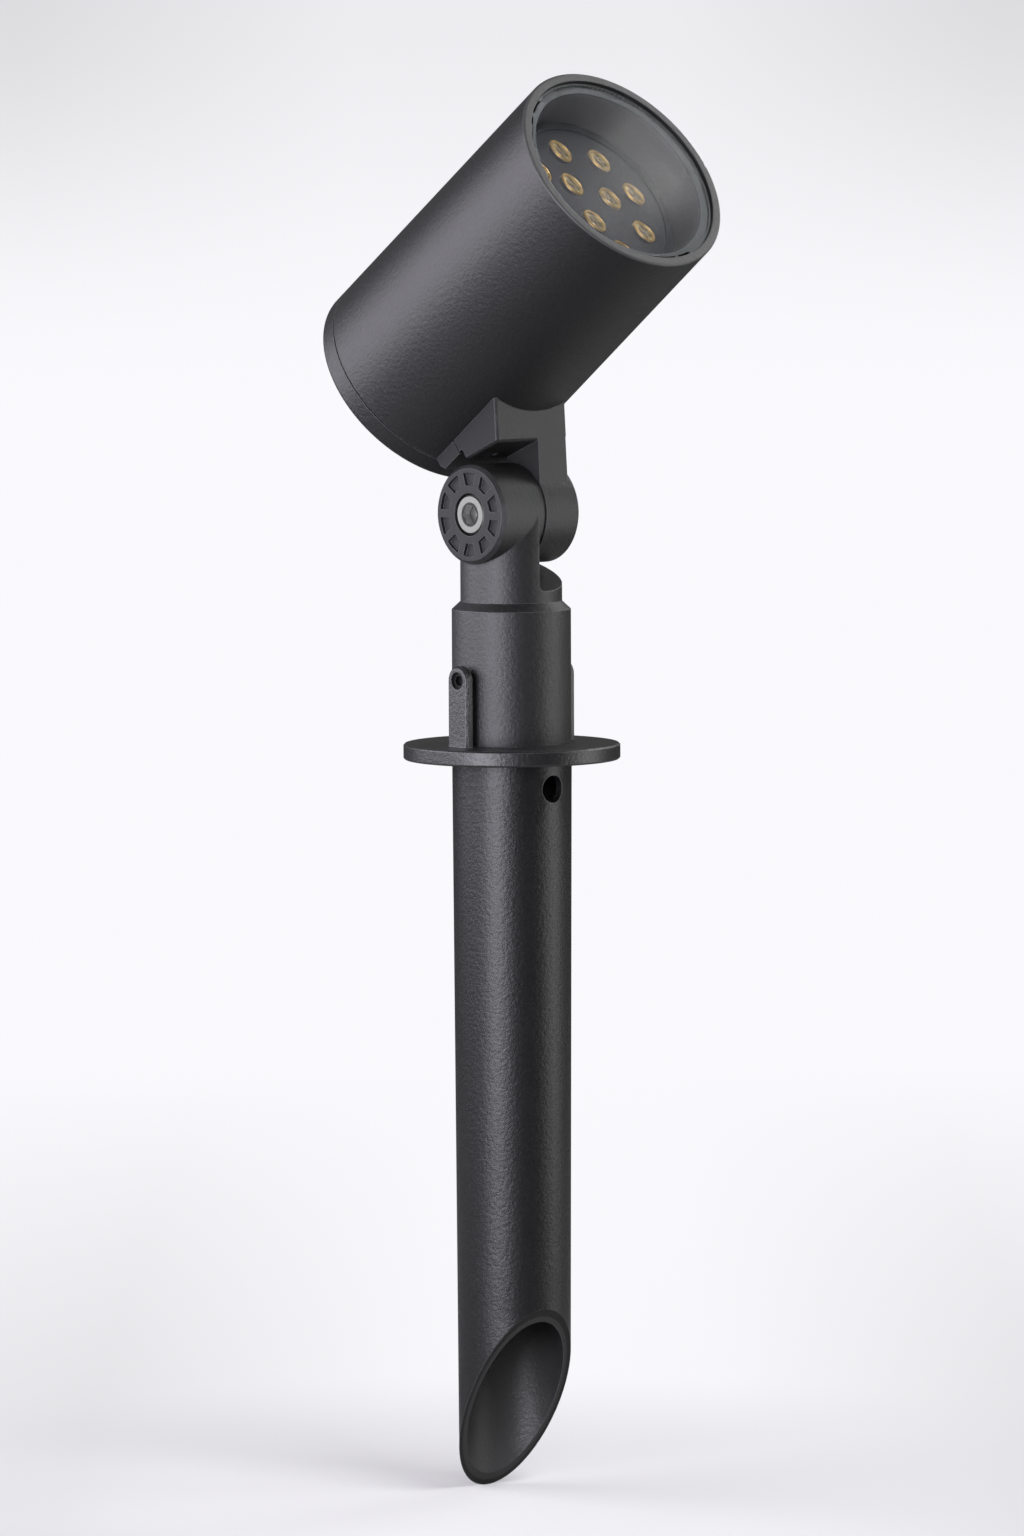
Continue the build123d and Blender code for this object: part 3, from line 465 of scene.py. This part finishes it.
spot = rim_centre + spot_across * across + spot_away * away - spot_depth * aim
to_eye = (camera.location - spot).normalized()
mirrored = 2.0 * to_eye.dot(aim) * aim - to_eye
spot_data = bpy.data.lights.new("spot_lamp", "AREA")
spot_data.shape = "DISK"
spot_data.size = spot_lamp_size
spot_data.energy = spot_lamp_brightness * math.pi**2 * (spot_lamp_size / 2.0) ** 2
spot_lamp = bpy.data.objects.new("spot_lamp", spot_data)
spot_lamp.location = spot + spot_lamp_distance * mirrored
spot_lamp.rotation_mode = "QUATERNION"
spot_lamp.rotation_quaternion = (-mirrored).to_track_quat("-Z", "Y")
spot_lamp.visible_camera = False
bpy.context.scene.collection.objects.link(spot_lamp)
print("spot lamp at", tuple(round(value, 3) for value in spot_lamp.location))

# %% [markdown]
# ## Powder coat
#
# The castings wear one kind of finish, baked on as a powder: a grain of about a millimetre, a little
# cloudiness, and edges that catch the light because the coat flows round them. A flat dark colour would
# look like plastic. The grain is a bump on fine noise, the cloudiness a slow noise in the colour. A shader
# bevel rounds the edges, and where it leans away from the true surface the colour is lighter, a painted
# highlight along the edges. Roughness and gloss differ a little from piece to piece, so the function takes
# them as its last two values.

# %% Powder coat
coat_dark = (0.0055, 0.0055, 0.006)
coat_light = (0.0095, 0.0095, 0.0105)
# Painted highlight: the lighter colour along the edges
painted_edge_highlight = (0.13, 0.13, 0.136)
coat_grain_scale = 850.0
coat_cloud_scale = 55.0
coat_grain_height = 0.00027
coat_grain_strength = 0.6
coat_edge_radius = 0.0005
coat_edge_samples = 6
edge_highlight_agreement = (0.99, 0.75)
coat_roughness = (0.40, 0.50)
coat_specular = 0.9
coat_index = 1.5
grain_detail = 3.0
grain_fineness = 0.6
grain_low = 0.3
grain_high = 0.7


def powder_coat(
    name, patch=None, patch_colour=coat_light, patch_roughness=None, texture=coat_roughness, index=coat_index
):
    """Anthracite powder coat with fine grain and a painted highlight on its edges, and another colour or roughness
    on a patch.
    """
    material, tree, place = new_finish(name)
    grain = noise(tree, place, coat_grain_scale, grain_detail, grain_fineness)
    cloud = noise(tree, place, coat_cloud_scale, grain_detail)
    shade = math_node(tree, "MULTIPLY", math_node(tree, "ADD", cloud, grain), half)
    colour = ramp(tree, shade, ((grain_low, coat_dark), (grain_high, coat_light)))
    roughness = spread(tree, grain, 0.0, 1.0, *texture)
    if patch:
        share = patch(tree, place)
        colour = blend(tree, share, colour, patch_colour)
    if patch_roughness:
        matt = spread(tree, share, 0.0, 1.0, 0.0, patch_roughness)
        roughness = math_node(tree, "MAXIMUM", roughness, matt)
    bevel = add_node(tree, "ShaderNodeBevel", {"samples": coat_edge_samples}, radius=coat_edge_radius)
    rounded = bevel.outputs["Normal"]
    straight = tree.nodes.new("ShaderNodeNewGeometry").outputs["Normal"]
    agreement = vector_node(tree, "DOT_PRODUCT", rounded, straight, "Value")
    # Painted highlight: the colour is lighter where the bevel leans away from the true surface
    colour = blend(tree, spread(tree, agreement, *edge_highlight_agreement), colour, painted_edge_highlight)
    normal = bumps(tree, grain, coat_grain_strength, coat_grain_height, rounded)
    shader = add_node(
        tree, "ShaderNodeBsdfPrincipled", base_color=colour, normal=normal, roughness=roughness,
        specular_ior_level=coat_specular, ior=index,
    )
    show(tree, shader.outputs[0])
    return material


print("powder coat ready")

# %% [markdown]
# In some places the coat differs. In the head's cavity and in the bore of the spike the powder hardly
# reaches, so the coat is thin and grey. The face of the rim takes a share of the same grey, a painted sheen
# that stands in for the light it catches. Flat faces square to the tilt axis, on the knuckle, the bracket and
# the key, are matt, as they are left from the mould. Distances from an axis, and the way a face points, find
# these places.

# %% Patches of the powder coat
cavity_reach = 0.0314
cavity_grey_and_rim_sheen = (0.085, 0.085, 0.087)
# Painted sheen: the face of the rim takes a share of the cavity's grey
rim_sheen_reach = 0.0346
rim_sheen_depth = 0.0007
painted_rim_sheen_share = 0.62
bore_reach = 0.0169
bore_grey = (0.04, 0.04, 0.041)
side_facing = (0.97, 0.99)
knuckle_reach = 0.0159
blur = 0.0001


def head_patch(tree, place):
    """One in the cavity, and a share of it on the face of the rim, as a painted sheen."""
    reach = axis_reach(tree, place, head_centre, aim)
    offset = vector_node(tree, "SUBTRACT", place, tuple(rim_centre))
    along = vector_node(tree, "DOT_PRODUCT", offset, tuple(aim), "Value")
    inside = spread(tree, reach, cavity_reach + blur, cavity_reach - blur)
    outer = spread(tree, reach, rim_sheen_reach - blur, rim_sheen_reach + blur)
    # Painted sheen on the face of the rim
    front = spread(tree, along, -rim_sheen_depth - blur, -rim_sheen_depth + blur, 0.0, painted_rim_sheen_share)
    return math_node(tree, "MAXIMUM", inside, math_node(tree, "MULTIPLY", outer, front))


def bore_patch(tree, place):
    """One in the bore of the spike."""
    reach = axis_reach(tree, place, stem_foot, upwards)
    return spread(tree, reach, bore_reach + blur, bore_reach - blur)


def side_patch(tree, place):
    """One on flat faces square to the tilt axis, on the side of the bolt's head."""
    faces = tree.nodes.new("ShaderNodeTexCoord").outputs["Normal"]
    facing = vector_node(tree, "DOT_PRODUCT", faces, tuple(-across), "Value")
    return spread(tree, facing, *side_facing)


def knuckle_patch(tree, place):
    """The same faces, as far as the knuckle's edge."""
    within = spread(tree, axis_reach(tree, place, pivot, across), knuckle_reach + blur, knuckle_reach - blur)
    return math_node(tree, "MULTIPLY", side_patch(tree, place), within)


print("patches ready")

# %% [markdown]
# Six pieces have a coat of their own. Besides the patches, they differ in how their surface was made: the
# drawn tube and the turned flange are smoother than the castings, and the stem is rougher. Flange and stem
# also shine more, which a higher index of refraction gives.

# %% Pieces with a coat of their own
side_roughness = 0.8
tube_roughness = (0.37, 0.47)
flange_roughness = (0.36, 0.46)
stem_roughness = (0.47, 0.57)
hard_coat_index = 1.62

own_finishes = {
    "head_housing": powder_coat("housing_coat", head_patch, cavity_grey_and_rim_sheen),
    "spike_tube": powder_coat("spike_coat", bore_patch, bore_grey, texture=tube_roughness),
    "ground_flange": powder_coat("flange_coat", texture=flange_roughness, index=hard_coat_index),
    "stem_post": powder_coat(
        "stem_coat", knuckle_patch, patch_roughness=side_roughness,
        texture=stem_roughness, index=hard_coat_index,
    ),
    "bracket": powder_coat("bracket_coat", side_patch, patch_roughness=side_roughness),
    "saddle_key": powder_coat("key_coat", side_patch, patch_roughness=side_roughness),
}
print("pieces with a coat of their own:", ", ".join(own_finishes))

# %% [markdown]
# ## Metal, rubber and plastic
#
# The small pieces share one kind of finish: a soft grain that varies the colour, the gloss and the surface.
# One function makes them all, and the pieces differ in colour, gloss and grain only.

# %% Small finishes
gloss_spread = 0.15
small_grain_strength = 0.4
small_grain_height = 0.00003


def grained_finish(name, colour, roughness, metallic, scale, contrast=0.18, specular=0.5):
    """Grained surface: noise varies the colour, the roughness and a fine bump."""
    material, tree, place = new_finish(name)
    grain = noise(tree, place, scale, grain_detail, grain_fineness)
    low = tuple(value * (1.0 - contrast) for value in colour)
    high = tuple(min(value * (1.0 + contrast), 1.0) for value in colour)
    gloss = (roughness * (1.0 - gloss_spread), roughness * (1.0 + gloss_spread))
    shader = add_node(
        tree, "ShaderNodeBsdfPrincipled", metallic=metallic, specular_ior_level=specular,
        base_color=ramp(tree, grain, ((grain_low, low), (grain_high, high))),
        roughness=spread(tree, grain, 0.0, 1.0, *gloss),
        normal=bumps(tree, grain, small_grain_strength, small_grain_height),
    )
    show(tree, shader.outputs[0])
    return material


print("grained finishes ready")

# %% [markdown]
# ## Pivot bolt
#
# The bolt's head is turned, so its pale face shows fine rings. The lip around the socket is painted dark, a
# painted shade that widens the dark of the socket, the socket's walls catch the light, and its bottom is a
# duller grey with a slightly paler point in the middle. The rings are a wave of the distance from the tilt
# axis. That distance, and the depth along the axis, tell the face, the lip, the walls and the bottom apart.

# %% Pivot bolt
bolt_face = (0.29, 0.295, 0.272)
bolt_groove = (0.24, 0.244, 0.225)
# Painted shade: the dark lip that widens the dark of the socket
bolt_lip_shade = (0.05, 0.05, 0.05)
bolt_wall = (0.8, 0.8, 0.78)
bolt_socket = (0.3, 0.3, 0.29)
bolt_point = (0.38, 0.38, 0.37)
bolt_ring_pitch = 0.00025
bolt_shade_reach = 0.0039
bolt_socket_reach = 0.0036
bolt_face_depth = -0.018
bolt_socket_depth = -0.0148
bolt_point_reach = 0.0005
bolt_ring_strength = 0.3
bolt_ring_height = 0.00001
bolt_polish_scale = 900.0
bolt_roughness = (0.38, 0.5)


def turned_steel():
    """Turned steel with fine rings on its face, and a colour each for lip, walls, bottom and point, the lip's dark
    a painted shade.
    """
    material, tree, place = new_finish("bolt_steel")
    reach = axis_reach(tree, place, pivot, across)
    turns = math_node(tree, "MULTIPLY", reach, 2.0 * math.pi / bolt_ring_pitch)
    wave = spread(tree, math_node(tree, "SINE", turns, 0.0), -1.0, 1.0)
    colour = blend(tree, wave, bolt_groove, bolt_face)
    depth = vector_node(tree, "DOT_PRODUCT", place, tuple(across), "Value")
    wall = spread(tree, depth, bolt_face_depth + blur, bolt_face_depth + 2.0 * blur)
    bottom = spread(tree, depth, bolt_socket_depth - 2.0 * blur, bolt_socket_depth - blur)
    zones = (
        (bolt_shade_reach, bolt_lip_shade, 1.0),
        (bolt_socket_reach, bolt_wall, wall),
        (bolt_socket_reach, bolt_socket, bottom),
        (bolt_point_reach, bolt_point, bottom),
    )
    for zone_reach, zone_colour, share in zones:
        within = spread(tree, reach, zone_reach + blur, zone_reach - blur)
        colour = blend(tree, math_node(tree, "MULTIPLY", within, share), colour, zone_colour)
    shader = add_node(
        tree, "ShaderNodeBsdfPrincipled", base_color=colour, metallic=1.0,
        normal=bumps(tree, wave, bolt_ring_strength, bolt_ring_height),
        roughness=spread(tree, noise(tree, place, bolt_polish_scale), 0.0, 1.0, *bolt_roughness),
    )
    show(tree, shader.outputs[0])
    return material


print("bolt ready")

# %% [markdown]
# ## Glass
#
# The front glass is 3 mm thick, clear, and coated against reflections, so it shifts what lies behind it and
# shows only a faint film of the studio. Its ground edge sits in dark sealant, which also serves as painted
# shade for the edge that the pocket keeps dark. Real glass in a path tracer would keep the lamps out of the
# cavity, since a path seldom finds a lamp through it. So shadow rays pass straight through, and every other
# ray sees refraction with a thin share of reflection on top.

# %% Glass
glass_tint = (0.955, 0.955, 0.966, 1.0)
glass_index = 1.5
glass_coated_index = 1.09
glass_edge_reach = 0.03385
glass_edge_blur = 0.00005
smear_scale = 35.0
smear_range = (0.35, 0.75)
film_roughness = (0.07, 0.13)
# Sealant colour, also painted shade on the glass edge
sealant_and_edge_shade = (0.06, 0.062, 0.062, 1.0)
sealant_roughness = 0.6


def clear_glass():
    """Coated clear glass that refracts what is seen, lets the lamps' light in and has a dark ground edge of
    sealant and painted shade.
    """
    material, tree, place = new_finish("clear_glass")
    smear = noise(tree, place, smear_scale)
    gloss = spread(tree, smear, *smear_range, *film_roughness)
    bent = add_node(tree, "ShaderNodeBsdfRefraction", color=glass_tint, roughness=0.0, ior=glass_index)
    film = add_node(tree, "ShaderNodeBsdfAnisotropic", color=plain_white, roughness=gloss)
    share = add_node(tree, "ShaderNodeFresnel", ior=glass_coated_index).outputs[0]
    glass = mixed_shader(tree, share, bent.outputs[0], film.outputs[0])
    clear = add_node(tree, "ShaderNodeBsdfTransparent", color=glass_tint).outputs[0]
    shadow_ray = tree.nodes.new("ShaderNodeLightPath").outputs["Is Shadow Ray"]
    glass = mixed_shader(tree, shadow_ray, glass, clear)
    edge = add_node(tree, "ShaderNodeBsdfPrincipled", base_color=sealant_and_edge_shade, roughness=sealant_roughness)
    reach = axis_reach(tree, place, head_centre, aim)
    outside = spread(tree, reach, glass_edge_reach, glass_edge_reach + glass_edge_blur)
    show(tree, mixed_shader(tree, outside, glass, edge.outputs[0]))
    return material


print("glass ready")

# %% [markdown]
# ## Amber lenses
#
# Each emitter sits under a small moulded lens: an oval bead, bright as gold where it catches the light, and
# a low fluted dome inside it that looks brown because it shows the dark plate through amber. The bead
# stands on a round dark holder that fills the hole in the plate. A sphere cap would miss all three. Here
# the height of a lens is one formula of the distance from its middle: a half circle for the bead, a
# parabola with flutes for the dome. The grid is squeezed to an oval, its last ring is round again, and
# below the plate it goes straight down to the board and is hollow over the emitter, as the solid is. One
# grid is repeated at each place.

# %% Lens shapes
plate_depth = 0.0192
board_depth = 0.0237
lens_radius = 0.0042
bead_radius = 0.0046
bead_width = 0.0009
bead_height = 0.0009
oval_share = 0.58
oval_turn = 27.8
dome_height = 0.0007
dome_foot = 0.0002
flute_count = 9
flute_height = 0.00012
flute_fullness = 4.0
pocket_radius = 0.003
pocket_height = 0.0023
lens_middle_share = 0.0001
lens_rows = 30
lens_sides = 54
lens_rings = ((0.0198, 8, 52.2), (0.0083, 3, 6.2))


def lens_height(radius, turn):
    """Half circle over the bead, and inside it a parabola with flutes that grow with the distance from the
    middle and end at the bead."""
    middle = bead_radius - bead_width / 2.0
    off_middle = np.clip((radius - middle) / (bead_width / 2.0), -1.0, 1.0)
    bead = bead_height * np.sqrt(1.0 - off_middle**2)
    share = np.clip(radius / (bead_radius - bead_width), 0.0, 1.0)
    flutes = flute_height * np.cos(flute_count * turn) * share**2 * (1.0 - share**2) * flute_fullness
    return np.maximum(bead, dome_foot + dome_height * (1.0 - share**2) + flutes)


def lens_places():
    """Middles of the lenses on the plate: distances across the head and away from the tilt axis."""
    places = []
    for circle, count, first in lens_rings:
        turn = np.radians(first + 360.0 * np.arange(count) / count)
        places.append(np.stack([circle * np.cos(turn), circle * np.sin(turn)], axis=-1))
    return np.concatenate(places)


print("lens formula ready")

# %% [markdown]
# The rows of the grid run from the middle of the dome out over the bead, then down the holder to the board
# and in under the lens. They come closer together towards the edge, where the bead is narrow.

# %% Grid of one lens
cap_radius = bead_radius * np.sqrt(np.linspace(lens_middle_share, 1.0, lens_rows))
lens_turn = np.linspace(0.0, 2.0 * np.pi, lens_sides, endpoint=False)
cap_height = lens_height(cap_radius[:, None], lens_turn[None, :])
foot_radius = np.array([lens_radius, lens_radius, pocket_radius, pocket_radius, cap_radius[0]])
foot_depth = board_depth - plate_depth
foot_height = np.array([foot_depth, 0.0, 0.0, pocket_height, pocket_height]) - foot_depth
one_radius = np.concatenate([cap_radius, foot_radius])
one_height = np.concatenate([cap_height, np.repeat(foot_height[:, None], lens_sides, axis=1)])
one_lens = turned_grid(one_radius, one_height, lens_sides)
one_lens[:lens_rows, :, 0] *= oval_share
turn = math.radians(oval_turn)
turned_axes = np.array([[math.cos(turn), math.sin(turn)], [-math.sin(turn), math.cos(turn)]])
one_lens[:, :, :2] = one_lens[:, :, :2] @ turned_axes
print("points on a lens:", one_lens.shape[0] * one_lens.shape[1])

# %% [markdown]
# The grid so far stands on a flat plane. Three unit vectors of the head carry it to the plate: across, away
# from the tilt axis, and along the aim.

# %% Lenses on the plate
middles = lens_places()
axes = np.array([across, away, aim])
flat = np.concatenate([middles, np.zeros((len(middles), 1))], axis=1)
local = one_lens.reshape(1, -1, 3) + flat[:, None, :]
lens_points = local @ axes + np.array(rim_centre - plate_depth * aim)
one_faces = ring_faces(len(one_radius), lens_sides)
starts = np.arange(len(middles))[:, None, None] * one_lens.shape[0] * one_lens.shape[1]
lens_faces = (one_faces[None, :, :] + starts).reshape(-1, 4)
lenses = mesh_from_arrays("lens_domes", lens_points, lens_faces)

holder_share = 2.0
uv_layer = lenses.data.uv_layers.new(name="lens")
corner_points = np.empty(len(lenses.data.loops), np.int32)
lenses.data.loops.foreach_get("vertex_index", corner_points)
lens_u = np.broadcast_to(lens_turn / (2.0 * np.pi), one_lens.shape[:2])
row_share = np.concatenate([cap_radius / bead_radius, np.full(len(foot_radius), holder_share)])
lens_v = np.broadcast_to(row_share[:, None], one_lens.shape[:2])
one_uv = np.stack([lens_u, lens_v], axis=-1).reshape(-1, 2)
uv_layer.data.foreach_set("uv", np.tile(one_uv, (len(middles), 1))[corner_points].ravel())
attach(lenses, "head")
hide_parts("led_lenses")
print("lenses:", len(middles))

# %% [markdown]
# The lens finish is told by the place on the lens: gold on the bead, grey on the holder, and on the dome a
# brown with bright streaks painted in, the pale lines that light draws when it is bent through moulded plastic.

# %% Lens finish
bead_gold = (0.62, 0.44, 0.2)
dome_brown = (0.035, 0.03, 0.02)
# Painted light: bright streaks on the dome
dome_caustic_light = (0.36, 0.28, 0.14)
plate_grey = (0.027, 0.028, 0.03)
streak_scale = 5.0
streak_detail = 4.0
streak_fineness = 0.7
streak_low = 0.5
streak_high = 0.62
streak_strength = 0.5
streak_height = 0.0002
lens_metal = (0.2, 0.75)
lens_polish = (0.14, 0.28)
lens_polish_scale = 700.0
bead_start = 1.0 - bead_width / bead_radius
bead_blur = 0.02


def amber_lens():
    """Gold bead around a brown dome with painted streaks of bent light, on a grey holder."""
    material, tree, place = new_finish("amber_lens")
    spot = tree.nodes.new("ShaderNodeUVMap").outputs["UV"]
    share = add_node(tree, "ShaderNodeSeparateXYZ", vector=spot).outputs["Y"]
    streaks = noise(tree, spot, streak_scale, streak_detail, streak_fineness)
    dome = ramp(tree, streaks, ((streak_low, dome_brown), (streak_high, dome_caustic_light)))
    bead = spread(tree, share, bead_start - bead_blur, bead_start + bead_blur)
    holder = spread(tree, share, 1.0, 1.0 + bead_blur)
    colour = blend(tree, holder, blend(tree, bead, dome, bead_gold), plate_grey)
    metal = math_node(tree, "SUBTRACT", spread(tree, bead, 0.0, 1.0, *lens_metal), holder)
    polish = spread(tree, noise(tree, place, lens_polish_scale), 0.0, 1.0, *lens_polish)
    shader = add_node(
        tree, "ShaderNodeBsdfPrincipled", base_color=colour, metallic=metal,
        normal=bumps(tree, streaks, streak_strength, streak_height),
        roughness=math_node(tree, "MAXIMUM", polish, holder),
    )
    show(tree, shader.outputs[0])
    return material


lens_finish = amber_lens()
lenses.data.materials.append(lens_finish)
print("lens finish ready")

# %% [markdown]
# ## Every solid gets its finish
#
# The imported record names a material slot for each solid. A table from slot to finish dresses them all, and
# the pieces that have a coat of their own take that instead.

# %% Finishes on the solids
# Colour, roughness, metallic share, waves of grain per metre, and for some also contrast and gloss
small_finishes = {
    "black_steel": ((0.012, 0.012, 0.013), 0.5, 0.5, 900.0),
    "zinc_steel": ((0.6, 0.61, 0.63), 0.35, 1.0, 500.0),
    "standoff_brass": ((0.78, 0.6, 0.3), 0.3, 1.0, 500.0, 0.1),
    "friction_plastic": ((0.75, 0.74, 0.7), 0.5, 0.0, 800.0, 0.08),
    "seal_rubber": ((0.09, 0.095, 0.095), 0.5, 0.0, 1500.0),
    "dark_plate": (plate_grey, 0.5, 0.0, 1200.0, 0.06, 0.3),
    "metal_core": ((0.8, 0.8, 0.79), 0.4, 0.0, 700.0, 0.08),
    "phosphor": ((0.9, 0.75, 0.22), 0.35, 0.0, 1500.0),
    "circuit_board": ((0.06, 0.24, 0.11), 0.4, 0.0, 300.0),
    "ferrite": ((0.09, 0.09, 0.09), 0.6, 0.0, 900.0),
    "capacitor_sleeve": ((0.05, 0.06, 0.1), 0.3, 0.0, 400.0),
    "terminal_plastic": ((0.6, 0.61, 0.62), 0.5, 0.0, 700.0, 0.08),
    "wire_insulation": ((0.6, 0.06, 0.05), 0.4, 0.0, 700.0),
}
finishes = {
    "powder_coat": powder_coat("powder_coat"),
    "bolt_steel": turned_steel(),
    "clear_glass": clear_glass(),
    "amber_lens": lens_finish,
}
for slot, recipe in small_finishes.items():
    finishes[slot] = grained_finish(slot, *recipe)
for subpart in frame["record"]["subparts"]:
    skin = nodes[subpart["node"]].data.materials
    skin.clear()
    skin.append(own_finishes.get(subpart["node"], finishes[subpart["material_slot"]]))
